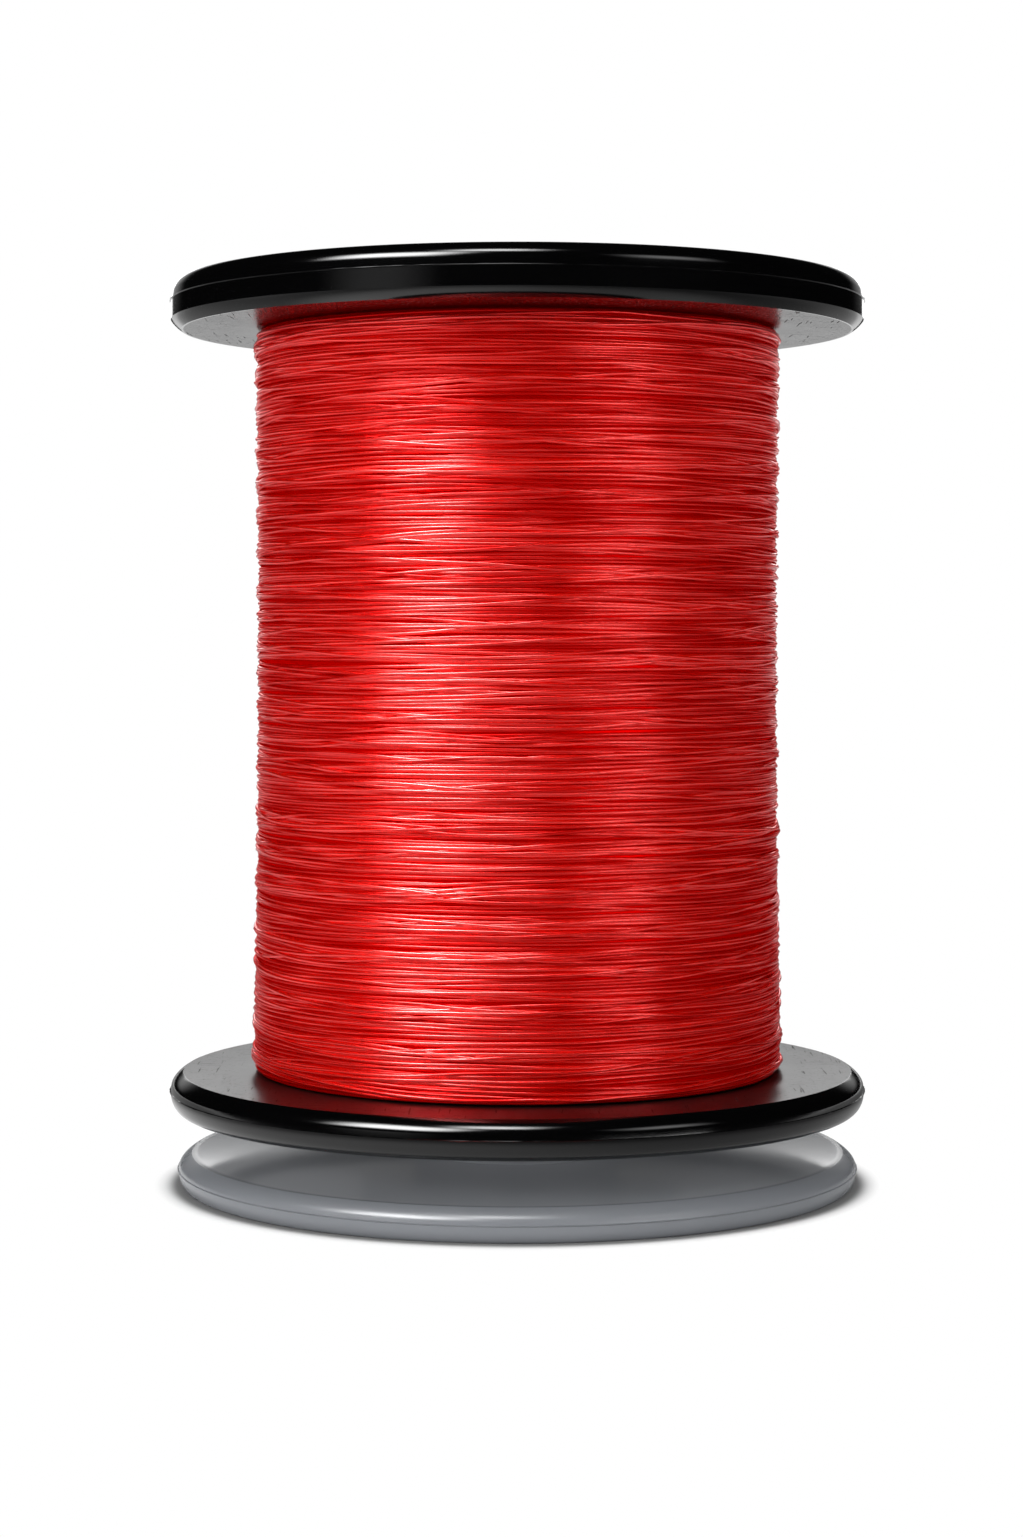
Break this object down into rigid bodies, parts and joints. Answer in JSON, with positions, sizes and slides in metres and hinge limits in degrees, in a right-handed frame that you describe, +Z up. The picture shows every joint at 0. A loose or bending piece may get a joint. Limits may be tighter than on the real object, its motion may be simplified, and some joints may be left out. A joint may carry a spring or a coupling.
{
  "type": "spool of thread",
  "caption": "Round spool of wound sewing thread between two flanges, with a sliding snap base that pinches the thread's end.",
  "frame": {"origin": "on the spool's axis, at the plane that it stands on", "axes": "+Z up along the spool's axis, from the foot disc to the upper flange"},
  "size_m": [0.044, 0.044, 0.057],
  "materials": {
    "black_plastic": "glossy black moulding, flat faces dulled by fine scuffs",
    "grey_plastic": "glossy mid-grey moulding",
    "post_plastic": "satin grey plastic",
    "core_plastic": "satin natural plastic",
    "thread_red": "silky red filament thread, wound nearly level",
    "label_paper": "smooth coated paper, blank"
  },
  "bodies": {
    "snap_base": {"base_disc": "grey_plastic", "latch_post": "post_plastic", "lower_label": "label_paper"},
    "spool": {"lower_flange": "black_plastic", "core_tube": "core_plastic", "upper_flange": "black_plastic", "thread_inner_layers": "thread_red", "thread_outer_layer": "thread_red", "upper_label": "label_paper"}
  },
  "joints": [
    {"name": "base_snap", "type": "slide", "parent": "snap_base", "child": "spool", "axis": [0, 0, -1], "range_m": [0, 0.0026]}
  ]
}
